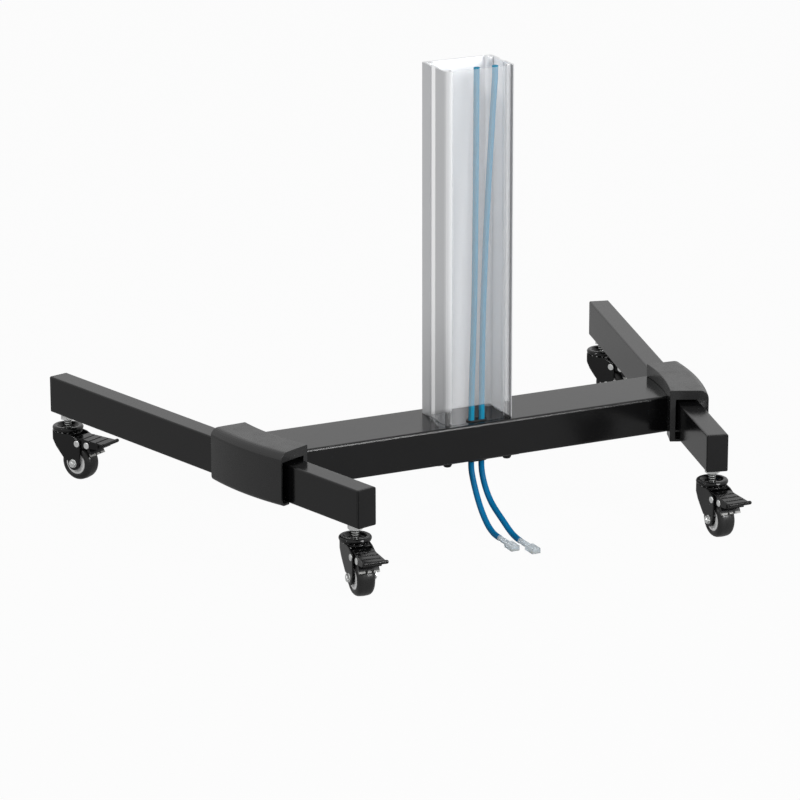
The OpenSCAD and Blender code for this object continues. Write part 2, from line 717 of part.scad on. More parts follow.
// Rubber grommet through a wall of the given thickness, whose outer face is at z = 0, facing +Z
module grommet(wall_t) {
    fit = 0.1;
    rim_w = grommet_hole_w + 2 * grommet_flange;
    rim_d = grommet_hole_d + 2 * grommet_flange;
    difference() {
        union() {
            linear_extrude(grommet_flange_t) polygon(slot([0, 0], rim_w, rim_d));
            translate([0, 0, -wall_t - eps]) linear_extrude(wall_t + 2 * eps)
                polygon(slot([0, 0], grommet_hole_w - 2 * fit, grommet_hole_d - 2 * fit));
            translate([0, 0, -wall_t - grommet_flange_t]) linear_extrude(grommet_flange_t)
                polygon(slot([0, 0], rim_w - 1, rim_d - 1));
        }
        translate([0, 0, -wall_t - 5]) linear_extrude(wall_t + 10)
            polygon(slot([0, 0], passage_w, passage_d));
    }
}

module cable_grommet_top() {
    color("#141414") on_base() translate([0, -cable_front, frame_top]) grommet(beam_wall);
}

module cable_grommet_bottom() {
    color("#141414") on_base() translate([0, -cable_front, leg_z - foot_plate_t])
        rotate([180, 0, 0]) grommet(foot_plate_t + beam_wall);
}

module cable_tube(route) color("#1f7cb5") on_base() sweep(route, cable_r, cable_sides);

// Modular data plug with a ribbed boot, laid along -Y with the cable's end at the origin
module cable_plug(route) {
    boot_ribs = 5;
    latch_t = 1;
    last = len(route) - 1;
    way = route[last] - route[last - 1];
    color("#2a8cc4") on_base() translate([route[last][0], route[last][1], cable_r])
        rotate([0, 0, atan2(way[1], way[0])]) {
            // Boot, thicker towards the plug and waisted between its ribs
            rotate([0, 90, 0]) rotate_extrude() polygon(concat(
                [[0, 0]],
                [for (i = [0:boot_ribs - 1], e = [0, 1, 2])
                    [cable_r - 0.2 - (e == 1 ? 0.5 : 0), boot_l * (i + e * 0.45) / boot_ribs]],
                [[cable_r - 0.2, boot_l], [0, boot_l]]
            ));
        }
    color("#dfe6ea") on_base() translate([route[last][0], route[last][1], cable_r])
        rotate([0, 0, atan2(way[1], way[0])]) difference() {
            translate([boot_l, -plug_w / 2, -plug_h / 2]) union() {
                cube([plug_l, plug_w, plug_h - latch_t]);
                translate([2, plug_w / 3, plug_h - latch_t - eps])
                    cube([plug_l - 4, plug_w / 3, latch_t]);
            }
            // Eight contact slots in the nose
            for (k = [0:7])
                translate([boot_l + plug_l - 6, (k - 3.5) * plug_w / 9 - 0.3, -plug_h / 2 - 1])
                    cube([7, 0.6, 2.2]);
        }
}

// Casters: parts that stay with the leg

module caster_stems() {
    foot_t = 1.6;
    color("#aeb2b4") at_stems() {
        translate([0, 0, cap_bottom + cap_floor_t - eps])
            cylinder(h = stem_top - cap_bottom - cap_floor_t, d = stem_d);
        translate([0, 0, kingpin_foot]) cylinder(h = cap_bottom + cap_floor_t - kingpin_foot, d = kingpin_d);
        // Riveted foot and washer below the crown
        translate([0, 0, kingpin_foot - foot_t])
            cylinder(h = foot_t + eps, d1 = kingpin_d, d2 = kingpin_d + 5);
        translate([0, 0, kingpin_foot]) cylinder(h = foot_t, d = kingpin_d + 10);
    }
}

module stem_nut() {
    difference() {
        hexagon(stem_nut_d, stem_nut_h);
        translate([0, 0, -1]) cylinder(h = stem_nut_h + 2, d = stem_d + 2 * thread_clear);
    }
}

module stem_nuts() {
    color("#c9cccd") at_stems() {
        translate([0, 0, -stem_nut_h]) stem_nut();
        translate([0, 0, leg_wall]) stem_nut();
    }
}

// Pressed cap with a raised rim round a dished middle
module swivel_caps() {
    rim_in = cap_r - cap_h - cap_slope_w;
    color("#161617") at_stems() difference() {
        rotate_extrude() polygon(concat(
            [[kingpin_d / 2 + thread_clear, cap_bottom]],
            [[cap_r - 1, cap_bottom]],
            arc([cap_r - cap_h / 2, (cap_bottom + cap_top) / 2], cap_h / 2, -60, 90, 7),
            [[cap_r - cap_h, cap_top]],
            [[rim_in, cap_bottom + cap_floor_t]],
            [[kingpin_d / 2 + thread_clear, cap_bottom + cap_floor_t]]
        ));
        rotate_extrude() translate([race_r, race_z]) circle(r = race_groove_r);
    }
}

module swivel_balls() {
    color("#d5d7d8") at_stems() for (k = [0:ball_count - 1])
        rotate([0, 0, 360 * k / ball_count]) translate([race_r, 0, race_z]) sphere(d = ball_d);
}

// Casters: fork and wheel

// Side view of the fork: straight front edge, round axle boss and a back edge that sweeps forward
function fork_side() = concat(
    [[-cap_r - 2, crown_top], [-cap_r - 2, -30], [-14.2, -35], [-9, -44], [-2, -52], [6, -60.5]],
    arc([trail, axle_z], fork_boss_r, 165, 335, 10),
    [[32.2, -57], [32.6, -32.4]],
    [[31.4, -30.4], [20, crown_bottom + 1.4], [10, crown_top]]
);

module fork_plan(inset) {
    r = fork_round_r - inset;
    half = fork_w / 2 - inset;
    bend = acos(half / r);
    polygon(concat(
        arc([0, 0], r, 90 + bend, 270 - bend, 12),
        [[wheel_d, -half], [wheel_d, half]]
    ));
}

module fork(i) {
    color("#19191a") on_caster(i) difference() {
        union() {
            intersection() {
                side_plate(-fork_w, fork_w) polygon(fork_side());
                translate([0, 0, -caster_h]) linear_extrude(caster_h) difference() {
                    fork_plan(0);
                    fork_plan(fork_t);
                }
            }
            // Crown, with a rounded front edge
            intersection() {
                rotate_extrude() polygon(concat(
                    [[0, crown_bottom], [crown_r - 1, crown_bottom]],
                    arc([crown_r - crown_t / 2, (crown_top + crown_bottom) / 2], crown_t / 2, -50, 90, 6),
                    [[0, crown_top]]
                ));
                translate([0, 0, -caster_h]) linear_extrude(caster_h) fork_plan(fork_t / 2);
            }
        }
        // Kingpin bore, ball groove, axle hole and pedal pin hole
        translate([0, 0, crown_bottom - 1])
            cylinder(h = crown_t + 2, d = kingpin_d + 2 * run_clear);
        rotate_extrude() translate([race_r, race_z]) circle(r = race_groove_r);
        translate([trail, fork_w, axle_z]) rotate([90, 0, 0])
            cylinder(h = 2 * fork_w, d = axle_d + 2 * thread_clear);
        translate([pedal_pin[0], fork_w, pedal_pin[1]]) rotate([90, 0, 0])
            cylinder(h = 2 * fork_w, d = pin_d + 2 * thread_clear);
    }
}

// Bolt through the fork with a flanged hexagon head, and a nut with its domed end
module axle(i) {
    flange_t = 0.9;
    color("#b9bcbe") on_caster(i) on_axle() {
        translate([0, 0, -fork_w / 2 - eps]) cylinder(h = fork_w + 2 * eps, d = axle_d);
        for (k = [0, 1]) mirror([0, 0, k]) translate([0, 0, fork_w / 2]) {
            cylinder(h = flange_t, d = axle_head_d);
            translate([0, 0, flange_t - eps]) hexagon(axle_head_d * 0.94, axle_head_h - flange_t);
            translate([0, 0, axle_head_h - eps])
                cylinder(h = 1 - 0.4 * k, d1 = axle_d, d2 = axle_d - 2);
        }
    }
}

module hub(i) {
    half_l = fork_in - pedal_gap;
    color("#222223") on_caster(i) on_axle() difference() {
        rotate_extrude() polygon([
            [0, -half_l], [hub_boss_d / 2 - 0.6, -half_l], [hub_boss_d / 2, -half_l + 0.6],
            [hub_boss_d / 2, -rim_w / 2 + 1.6], [rim_bore_d / 2, -rim_w / 2 + 0.6],
            [rim_bore_d / 2, rim_w / 2 - 0.6], [hub_boss_d / 2, rim_w / 2 - 1.6],
            [hub_boss_d / 2, half_l - 0.6], [hub_boss_d / 2 - 0.6, half_l], [0, half_l]
        ]);
        translate([0, 0, -fork_w]) cylinder(h = 2 * fork_w, d = axle_d + 2 * run_clear);
    }
}

// Pale core of the wheel: a stepped ring on each face with a thin groove between the steps
module rim(i) {
    half = rim_w / 2;
    groove_r = (rim_d + rim_bore_d) / 4 + 0.4;
    fit = 0.02;
    color("#c9c8c4") on_caster(i) on_axle() rotate_extrude() polygon([
        [rim_bore_d / 2 + fit, -half], [groove_r - 0.4, -half], [groove_r - 0.2, -half + 0.6],
        [groove_r + 0.2, -half + 0.6], [groove_r + 0.4, -half + 0.2], [rim_d / 2 - fit, -half + 0.5],
        [rim_d / 2 - fit, half - 0.5], [groove_r + 0.4, half - 0.2], [groove_r + 0.2, half - 0.6],
        [groove_r - 0.2, half - 0.6], [groove_r - 0.4, half], [rim_bore_d / 2 + fit, half]
    ]);
}

module tyre(i) {
    half = tyre_w / 2;
    s = tyre_shoulder;
    crown = 0.35;
    color("#1b1b1b") on_caster(i) on_axle() rotate_extrude($fn = 72) polygon(concat(
        [[rim_d / 2, -rim_w / 2 + 0.2], [rim_d / 2 + 1.2, -half + 0.4]],
        arc([wheel_r - crown - s, -half + s], s, -90, 0),
        [[wheel_r, 0]],
        arc([wheel_r - crown - s, half - s], s, 0, 90),
        [[rim_d / 2 + 1.2, half - 0.4], [rim_d / 2, rim_w / 2 - 0.2]]
    ));
}

// Casters: brake

// Cheek: round lobe at the hinge pin, straight under the shoe's rivet, rounded nose under the lip
function cheek_side(lobe_r = 5.8, nose_r = 5) = concat(
    arc(pedal_pin, lobe_r, 140, 290, 8),
    [[pedal_pin[0] + 5, pedal_pin[1] - lobe_r], [shoe_pin[0] + 1, shoe_pin[1] - 5.2]],
    [[shoe_pin[0] + 7, shoe_pin[1] - 3.6]],
    arc(lip + [-15.9, -4], nose_r, 290, 380, 6),
    [[lip[0] - 8.9, plate_end[1]], plate_start + [0.6, -1]]
);

module pedal(i) {
    plate_len = norm(plate_end - plate_start);
    slope = atan2(plate_end[1] - plate_start[1], plate_end[0] - plate_start[0]);
    widen_at = 12;
    flare = 1.6;
    lip_half = lip_w / 2;
    rib_t = 1.2;
    rib_h = 0.7;
    apron_t = 3.4;
    apron_h = 8.3;
    color("#121213") on_caster(i) difference() {
        union() {
            for (k = [0, 1]) mirror([0, k, 0])
                side_plate(cheek_in, cheek_out) polygon(cheek_side());
            // Sloping plate, wider in front of the fork, with ribs across it
            translate([plate_start[0], 0, plate_start[1]]) rotate([0, -slope, 0]) {
                translate([0, 0, -pedal_t]) linear_extrude(pedal_t) polygon([
                    [0, -cheek_out], [widen_at, -cheek_out], [plate_len, -cheek_out - flare],
                    [plate_len, cheek_out + flare], [widen_at, cheek_out], [0, cheek_out]
                ]);
                for (r = [1:pedal_ribs])
                    translate([plate_len * r / (pedal_ribs + 1) - rib_t / 2, -cheek_out + 1, -eps])
                        cube([rib_t, 2 * cheek_out - 2, rib_h]);
            }
            // Rolled lip
            translate([lip[0], 0, lip[1]]) rotate([90, 0, 0]) rotate_extrude() polygon(concat(
                [[0, -lip_half]],
                arc([0, -lip_half + lip_d / 2], lip_d / 2, -80, 0),
                arc([0, lip_half - lip_d / 2], lip_d / 2, 0, 80),
                [[0, lip_half]]
            ));
            // Apron under the lip
            translate([lip[0] - lip_d - apron_t - 4, -cheek_in - eps, plate_end[1] - 0.4 - apron_h])
                cube([apron_t, 2 * cheek_in + 2 * eps, apron_h]);
        }
        translate([pedal_pin[0], fork_w, pedal_pin[1]]) rotate([90, 0, 0])
            cylinder(h = 2 * fork_w, d = pin_d + 2 * run_clear);
        translate([shoe_pin[0], fork_w, shoe_pin[1]]) rotate([90, 0, 0])
            cylinder(h = 2 * fork_w, d = pin_d + 2 * thread_clear);
    }
}

// Brake shoe: a wall curved about the wheel axle, toothed below, on a block between the cheeks
module brake_shoe(i) {
    wall_from = 25;
    wall_to = 44;
    block_from = 36;
    block_to = 58;
    block_half = cheek_in - 0.2;
    tooth_pitch = 8;
    tooth_gap = 3;
    tooth_gap_h = 9.6;
    axle_at = [trail, axle_z];
    color("#202021") on_caster(i) difference() {
        union() {
            side_plate(-shoe_w / 2, shoe_w / 2) polygon(concat(
                arc(axle_at, shoe_r_out, wall_from, wall_to, 8),
                arc(axle_at, shoe_r_in, wall_to, wall_from, 8)
            ));
            side_plate(-block_half, block_half) polygon(concat(
                arc(axle_at, shoe_r_in, block_from, block_to, 6),
                [shoe_pin + [-5.4, 1.6]],
                [shoe_pin + [-4, 4.4], shoe_pin + [6.6, 4.4], shoe_pin + [8.4, -1]],
                arc(axle_at, shoe_r_out - 0.6, block_from + 7, block_from, 3)
            ));
        }
        for (k = [-0.5, 0.5]) translate([trail, k * tooth_pitch - tooth_gap / 2, axle_z])
            rotate([0, -wall_from - 3, 0]) translate([shoe_r_in - 1, 0, 1.6 - tooth_gap_h])
            cube([shoe_t + 2, tooth_gap, tooth_gap_h]);
        translate([shoe_pin[0], fork_w, shoe_pin[1]]) rotate([90, 0, 0])
            cylinder(h = 2 * fork_w, d = pin_d + 2 * thread_clear);
    }
}

// Rivet across the caster at a point of the side view, with flat heads on faces that lie at +-half
module rivet(at, half) {
    translate([at[0], 0, at[1]]) rotate([90, 0, 0]) {
        translate([0, 0, -half - eps]) cylinder(h = 2 * half + 2 * eps, d = pin_d);
        for (k = [0, 1]) mirror([0, 0, k]) translate([0, 0, half]) {
            cylinder(h = pin_head_t - 0.4, d = pin_head_d);
            translate([0, 0, pin_head_t - 0.4 - eps])
                cylinder(h = 0.4, d1 = pin_head_d, d2 = pin_head_d - 1);
        }
    }
}

module pedal_pin(i) color("#a9acae") on_caster(i) rivet(pedal_pin, fork_w / 2);

module shoe_rivet(i) color("#a9acae") on_caster(i) rivet(shoe_pin, cheek_out);

crossbeam();
beam_end_plates();
leg(-1);  // leg_left
leg(1);  // leg_right
leg_end_caps();
leg_bolts();
joint_cover(-1);  // joint_cover_left
joint_cover(1);  // joint_cover_right
column();
foot_plate();
column_bolts();
cable_grommet_top();
cable_grommet_bottom();
cable_tube(riser_left);  // cable_riser_left
cable_tube(riser_right);  // cable_riser_right
cable_tube(tail_left);  // cable_tail_left
cable_tube(tail_right);  // cable_tail_right
cable_plug(tail_left);  // cable_plug_left
cable_plug(tail_right);  // cable_plug_right
caster_stems();
stem_nuts();
swivel_caps();
swivel_balls();
for (i = [0:3]) {
    fork(i);
    axle(i);
    hub(i);
    rim(i);
    tyre(i);
    pedal(i);
    brake_shoe(i);
    pedal_pin(i);
    shoe_rivet(i);
}
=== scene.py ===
"""Looks of the mobile tv stand's wheeled base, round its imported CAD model."""

import json
import math

import bmesh
import bpy
from mathutils import Matrix, Vector


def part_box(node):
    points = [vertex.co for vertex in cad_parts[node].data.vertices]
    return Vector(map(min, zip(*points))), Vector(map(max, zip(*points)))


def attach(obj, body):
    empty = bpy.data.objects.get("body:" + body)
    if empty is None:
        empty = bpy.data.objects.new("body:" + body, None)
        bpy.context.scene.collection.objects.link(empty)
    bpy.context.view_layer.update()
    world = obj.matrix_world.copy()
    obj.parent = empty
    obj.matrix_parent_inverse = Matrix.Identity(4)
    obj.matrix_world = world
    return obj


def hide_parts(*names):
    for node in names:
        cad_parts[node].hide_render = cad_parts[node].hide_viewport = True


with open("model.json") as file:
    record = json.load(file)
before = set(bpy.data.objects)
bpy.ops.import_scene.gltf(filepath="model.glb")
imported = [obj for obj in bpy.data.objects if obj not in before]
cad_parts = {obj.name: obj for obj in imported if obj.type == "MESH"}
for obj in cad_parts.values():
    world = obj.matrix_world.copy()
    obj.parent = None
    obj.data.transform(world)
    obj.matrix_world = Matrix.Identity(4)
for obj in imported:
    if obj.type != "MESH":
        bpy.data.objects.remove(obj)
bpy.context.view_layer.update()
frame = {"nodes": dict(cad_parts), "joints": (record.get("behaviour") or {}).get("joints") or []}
nodes = frame["nodes"]
CORNERS = ["front_left", "front_right", "back_left", "back_right"]

# Camera

CAMERA_AT = (-2.3407, -4.6873, 1.75925)
CAMERA_YAW = math.radians(-25.7556)
CAMERA_PITCH = math.radians(17.1889)
CAMERA_ROLL = math.radians(-0.1028)
FOCAL_PIXELS = 4128.1
PHOTO_WIDTH = 800
SENSOR_MM = 36
FAR_CLIP = 200


def make_camera():
    back = Vector((
        math.sin(CAMERA_YAW) * math.cos(CAMERA_PITCH),
        -math.cos(CAMERA_YAW) * math.cos(CAMERA_PITCH),
        math.sin(CAMERA_PITCH),
    ))
    level_right = Vector((math.cos(CAMERA_YAW), math.sin(CAMERA_YAW), 0))
    level_up = back.cross(level_right)
    right = math.cos(CAMERA_ROLL) * level_right + math.sin(CAMERA_ROLL) * level_up
    up = math.cos(CAMERA_ROLL) * level_up - math.sin(CAMERA_ROLL) * level_right
    data = bpy.data.cameras.new("camera")
    data.sensor_width = SENSOR_MM
    data.lens = FOCAL_PIXELS * SENSOR_MM / PHOTO_WIDTH
    data.clip_end = FAR_CLIP
    camera = bpy.data.objects.new("camera", data)
    camera.matrix_world = Matrix((
        (right.x, up.x, back.x, CAMERA_AT[0]),
        (right.y, up.y, back.y, CAMERA_AT[1]),
        (right.z, up.z, back.z, CAMERA_AT[2]),
        (0, 0, 0, 1),
    ))
    bpy.context.scene.collection.objects.link(camera)
    bpy.context.scene.camera = camera


make_camera()

# Cords: the same points as in the CAD source, in millimetres from the floor below the crossbeam's middle

BASE = Vector((-0.0135, -0.0635, 0))
CABLE_D = 0.008
TUBE_SIDES = 28
ROUTE_STEPS = 6
TAIL_LEFT = [
    (-7.5, -30, 83), (-7.5, -30, 80), (-7.5, -30.6, 74), (-7.6, -32.6, 67.5),
    (-7.7, -36, 60.5), (-7.8, -40.4, 53), (-7.9, -45.6, 45), (-8, -51.6, 36.8), (-8.1, -58.6, 28.6),
    (-8.2, -66.6, 21), (-8.4, -76, 14), (-8.6, -86, 8.6), (-8.8, -97, 5.2), (-9, -107, 4.1),
    (-9, -116, 4),
]
TAIL_RIGHT = [
    (7.5, -30, 83), (7.5, -30, 80), (7.5, -30.4, 74), (7.5, -32, 67), (7.6, -34.8, 60),
    (7.7, -38.8, 53), (7.8, -44, 46), (7.9, -50.4, 39.4), (8, -58, 33.4), (8.2, -66.8, 28.2),
    (8.4, -76.6, 23.6), (8.7, -87, 19), (9, -97, 14.4), (9.3, -107, 10), (9.6, -117, 6.6),
    (9.9, -127, 4.7), (10, -137, 4),
]


def in_frame(points):
    return [BASE + Vector(p) / 1000 for p in points]


def tube_piece(name, points, radius):
    """Round mesh tube along points, with closed ends."""
    before = [points[0], *points[:-1]]
    after = [*points[1:], points[-1]]
    ways = [(b - a).normalized() for a, b in zip(before, after)]
    across = ways[0].orthogonal().normalized()
    turns = [2 * math.pi * k / TUBE_SIDES for k in range(TUBE_SIDES)]
    mesh = bmesh.new()
    rings = []
    for at, way in zip(points, ways):
        across = (across - way * across.dot(way)).normalized()
        over = way.cross(across)
        rings.append([
            mesh.verts.new(at + radius * (math.cos(turn) * across + math.sin(turn) * over)) for turn in turns
        ])
    for low, high in zip(rings, rings[1:]):
        for k in range(TUBE_SIDES):
            n = (k + 1) % TUBE_SIDES
            mesh.faces.new((low[k], low[n], high[n], high[k])).smooth = True
    mesh.faces.new(rings[0][::-1])
    mesh.faces.new(rings[-1])
    return mesh_piece(name, mesh)


def mesh_piece(name, mesh):
    data = bpy.data.meshes.new(name)
    mesh.to_mesh(data)
    mesh.free()
    piece = bpy.data.objects.new(name, data)
    bpy.context.scene.collection.objects.link(piece)
    return piece


def smooth_route(points):
    """Catmull-Rom line through points, with ROUTE_STEPS steps between each two."""
    ends = [2 * points[0] - points[1], *points, 2 * points[-1] - points[-2]]
    line = []
    for i in range(1, len(ends) - 2):
        a, b, c, d = ends[i - 1:i + 3]
        for k in range(ROUTE_STEPS):
            t = k / ROUTE_STEPS
            line.append(0.5 * (
                2 * b + (c - a) * t + (2 * a - 5 * b + 4 * c - d) * t * t
                + (3 * b - a - 3 * c + d) * t ** 3
            ))
    return [*line, points[-1]]


def make_cords():
    made = []
    for side, points in (("left", TAIL_LEFT), ("right", TAIL_RIGHT)):
        line = smooth_route(in_frame(points))
        piece = tube_piece(f"cable_{side}", line, CABLE_D / 2)
        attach(piece, "base")
        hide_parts(f"cable_tail_{side}")
        made.append(piece)
    return made


cables = make_cords()

# Materials

# The span of a noise's value that holds nearly all of it
NOISE_MIDDLE = (0.3, 0.7)
LEAST_ROUGHNESS = 0.02
# The length of one wave of the wave texture at a scale of 1
WAVE_LENGTH = 0.31416


def combine(tree, operation, first, second):
    """Math of one socket and a socket or number."""
    made = tree.nodes.new("ShaderNodeMath")
    made.operation = operation
    tree.links.new(first, made.inputs[0])
    if isinstance(second, float):
        made.inputs[1].default_value = second
    else:
        tree.links.new(second, made.inputs[1])
    return made.outputs[0]


class Paint:
    """A Principled material with short helpers for its procedural detail."""

    def __init__(self, name, color, roughness, metallic=0.0, specular=0.5):
        self.material = bpy.data.materials.new(name)
        self.material.use_nodes = True
        self.tree = self.material.node_tree
        self.shader = self.tree.nodes["Principled BSDF"]
        self.color = color
        self.roughness = roughness
        self.set("Base Color", (*color, 1))
        self.set("Roughness", roughness)
        self.set("Metallic", metallic)
        self.set("Specular IOR Level", specular)

    def set(self, socket, value):
        self.shader.inputs[socket].default_value = value

    def node(self, kind, **inputs):
        made = self.tree.nodes.new(kind)
        for key, value in inputs.items():
            made.inputs[key.replace("_", " ")].default_value = value
        return made

    def link(self, source, target):
        self.tree.links.new(source, target)

    def place(self, scale=(1, 1, 1)):
        """Object coordinates in metres, stretched by scale."""
        coordinates = self.tree.nodes.new("ShaderNodeTexCoord")
        mapping = self.node("ShaderNodeMapping")
        mapping.inputs["Scale"].default_value = scale
        self.link(coordinates.outputs["Object"], mapping.inputs["Vector"])
        return mapping.outputs["Vector"]

    def noise(self, scale, detail=3.0, rough=0.55, stretch=(1, 1, 1)):
        made = self.node("ShaderNodeTexNoise", Scale=scale, Detail=detail, Roughness=rough)
        self.link(self.place(stretch), made.inputs["Vector"])
        return made.outputs["Fac"]

    def ramp(self, factor, low, high, at=NOISE_MIDDLE):
        """Colour that goes from low to high as factor passes from at[0] to at[1]."""
        made = self.tree.nodes.new("ShaderNodeValToRGB")
        made.color_ramp.elements[0].position = at[0]
        made.color_ramp.elements[1].position = at[1]
        made.color_ramp.elements[0].color = (*low, 1)
        made.color_ramp.elements[1].color = (*high, 1)
        self.link(factor, made.inputs["Fac"])
        return made.outputs["Color"]

    def varied(self, factor, spread):
        """The material's colour, varying by a share of itself."""
        low = [c * (1 - spread) for c in self.color]
        high = [min(1.0, c * (1 + spread)) for c in self.color]
        return self.ramp(factor, low, high)

    def vary(self, factor, spread):
        """Base colour that varies by a share of itself."""
        self.link(self.varied(factor, spread), self.shader.inputs["Base Color"])

    def gloss(self, factor, spread):
        """Roughness that varies by an amount either way."""
        made = self.node("ShaderNodeMapRange")
        made.inputs["From Min"].default_value, made.inputs["From Max"].default_value = NOISE_MIDDLE
        made.inputs["To Min"].default_value = max(LEAST_ROUGHNESS, self.roughness - spread)
        made.inputs["To Max"].default_value = self.roughness + spread
        self.link(factor, made.inputs["Value"])
        self.link(made.outputs["Result"], self.shader.inputs["Roughness"])

    def round_edges(self, radius):
        """Rounded look of edges that the mesh leaves sharp."""
        made = self.node("ShaderNodeBevel", Radius=radius)
        made.samples = 4
        self.link(made.outputs["Normal"], self.shader.inputs["Normal"])

    def split(self):
        """X, Y and Z of the object coordinates, in metres."""
        parts = self.tree.nodes.new("ShaderNodeSeparateXYZ")
        self.link(self.place(), parts.inputs["Vector"])
        return [parts.outputs[axis] for axis in "XYZ"]

    def within(self, value, middle, half):
        """1 where value is less than half away from middle, else 0."""
        away = self.calc("ABSOLUTE", self.calc("SUBTRACT", value, middle))
        return self.calc("LESS_THAN", away, half)

    def calc(self, operation, first, second=0.0):
        """Math of one socket and a socket or number."""
        return combine(self.tree, operation, first, second)

    def span(self, value, at, between):
        """Smooth change from between[0] to between[1] as value passes from at[0] to at[1]."""
        made = self.tree.nodes.new("ShaderNodeMapRange")
        made.interpolation_type = "SMOOTHSTEP"
        made.inputs["From Min"].default_value, made.inputs["From Max"].default_value = at
        made.inputs["To Min"].default_value, made.inputs["To Max"].default_value = between
        self.link(value, made.inputs["Value"])
        return made.outputs["Result"]

    def fade(self, value, limit, half_width):
        """0 below limit and 1 above it, with a soft step."""
        return self.span(value, (limit - half_width, limit + half_width), (0, 1))

    def pick(self, switch, off, on):
        """off where switch is 0 and on where it is 1."""
        made = self.tree.nodes.new("ShaderNodeMix")
        self.link(switch, made.inputs["Factor"])
        for socket, value in ((made.inputs["A"], off), (made.inputs["B"], on)):
            if isinstance(value, float):
                socket.default_value = value
            else:
                self.link(value, socket)
        return made.outputs["Result"]

    def blend(self, switch, off, on):
        """Colour off where switch is 0 and colour on where it is 1."""
        made = self.tree.nodes.new("ShaderNodeMix")
        made.data_type = "RGBA"
        self.link(switch, made.inputs["Factor"])
        self.link(off, made.inputs[6])
        made.inputs[7].default_value = (*on, 1)
        return made.outputs[2]

    def waves(self, pitch):
        """Even ridges along Z, a pitch apart."""
        made = self.node("ShaderNodeTexWave", Scale=1)
        made.bands_direction = "Z"
        self.link(self.place((1, 1, WAVE_LENGTH / pitch)), made.inputs["Vector"])
        return made.outputs["Fac"]

    def bump(self, factor, distance, strength=1.0):
        made = self.node("ShaderNodeBump", Strength=strength, Distance=distance)
        self.link(factor, made.inputs["Height"])
        last = self.shader.inputs["Normal"].links
        if last:
            self.link(last[0].from_socket, made.inputs["Normal"])
        self.link(made.outputs["Normal"], self.shader.inputs["Normal"])


def powder_coat(name, color, roughness=0.16, specular=0.37):
    paint = Paint(name, color, roughness, specular=specular)
    paint.round_edges(0.0025)
    fine = paint.noise(1400, 2)
    cloud = paint.noise(9, 3)
    paint.vary(cloud, 0.12)
    paint.gloss(cloud, 0.03)
    paint.bump(fine, 0.00008, 0.35)
    return paint.material


def moulded(name, color, roughness=0.5, grain=0.00012, specular=0.2, edge=0.0008):
    paint = Paint(name, color, roughness, specular=specular)
    paint.round_edges(edge)
    paint.vary(paint.noise(14, 3), 0.1)
    paint.gloss(paint.noise(60, 3), 0.05)
    paint.bump(paint.noise(2200, 2), grain, 0.4)
    return paint.material


def gloss_coat(name, color, roughness=0.1, specular=0.22, edge=0.0005):
    paint = Paint(name, color, roughness, specular=specular)
    paint.round_edges(edge)
    paint.vary(paint.noise(30, 3), 0.15)
    paint.gloss(paint.noise(120, 3), 0.03)
    paint.bump(paint.noise(420, 2), 0.00006, 0.25)
    return paint.material


def zinc(name, color, roughness=0.27):
    paint = Paint(name, color, roughness, metallic=0.75)
    paint.round_edges(0.0003)
    paint.vary(paint.noise(160, 4), 0.12)
    paint.gloss(paint.noise(300, 3), 0.07)
    paint.bump(paint.noise(900, 3), 0.00004, 0.3)
    return paint.material


RIDGE_PITCH = 0.003


def threaded_zinc(name, color):
    """Zinc with ridges along Z, coarser than the thread so that they show, with painted shade in the valleys
    between them.
    """
    paint = Paint(name, color, 0.3, metallic=1.0)
    ridges = paint.waves(RIDGE_PITCH)
    # Painted shade: the valleys between the ridges are painted darker
    valley_shade = [c * 0.45 for c in color]
    paint.link(paint.ramp(ridges, valley_shade, color, (0.1, 0.6)), paint.shader.inputs["Base Color"])
    paint.gloss(paint.noise(300, 3), 0.06)
    paint.bump(ridges, 0.0004, 0.6)
    return paint.material


def tyre_rubber():
    paint = Paint("tyre_black", (0.02, 0.02, 0.02), 0.27, specular=0.3)
    paint.vary(paint.noise(60, 4), 0.2)
    paint.gloss(paint.noise(200, 3), 0.06)
    paint.bump(paint.noise(1500, 3), 0.00008, 0.35)
    return paint.material


def cable_jacket(name, color):
    paint = Paint(name, color, 0.42, specular=0.1)
    paint.vary(paint.noise(40, 3), 0.06)
    paint.gloss(paint.noise(300, 2), 0.05)
    paint.bump(paint.noise(700, 2, stretch=(1, 1, 0.2)), 0.00006, 0.3)
    return paint.material


def clear_plug():
    paint = Paint("plug_clear", (0.72, 0.78, 0.82), 0.16, specular=0.5)
    paint.set("Transmission Weight", 0.55)
    paint.vary(paint.noise(300, 2), 0.05)
    paint.gloss(paint.noise(400, 2), 0.04)
    paint.bump(paint.noise(500, 2), 0.00004, 0.2)
    return paint.material


# The column, in metres: its walls and grooves are those of the CAD source
COLUMN_HALF_W = 0.05
COLUMN_FRONT = BASE.y - 0.04
COLUMN_MID_Y = BASE.y - 0.005
COLUMN_INNER = Vector((0.0475, 0.0325))
GROOVE_Y = BASE.y - 0.0012
GROOVE_HALF = 0.0068
GROOVE_DEEP = 0.0025
# Widths of its opaque corners, and how softly each border fades
LEFT_CORNER, LEFT_FADE = 0.0092, 0.0008
RIGHT_CORNER, RIGHT_FADE = 0.0035, 0.0004
FRONT_FADE = 0.0005
INNER_MARGIN = 0.0002
# Its foot is clear up to a slope that falls to the right wall and to the back wall
FOOT_SLOPE_X = 0.7
FOOT_SLOPE_Y = 0.352
FOOT_FADE = (-0.001, 0.001)
LEFT_FOOT_FADE = (-0.007, 0.003)
FRONT_ALPHA = 0.17
FOOT_ALPHA = 0.01
LEFT_FOOT_ALPHA = 0.12
# Painted shade: the left wall's colour falls to this share towards its foot, standing in for the black
# crossbeam it reflects
FOOT_SHADE = 0.8
FOOT_SHADE_RISE = (0, 0.16)
# Painted light: the inner faces are painted paler than the outer ones, against the shade inside the tube
INNER_PAINTED_LIGHT_COLOR = (0.95, 0.955, 0.97)
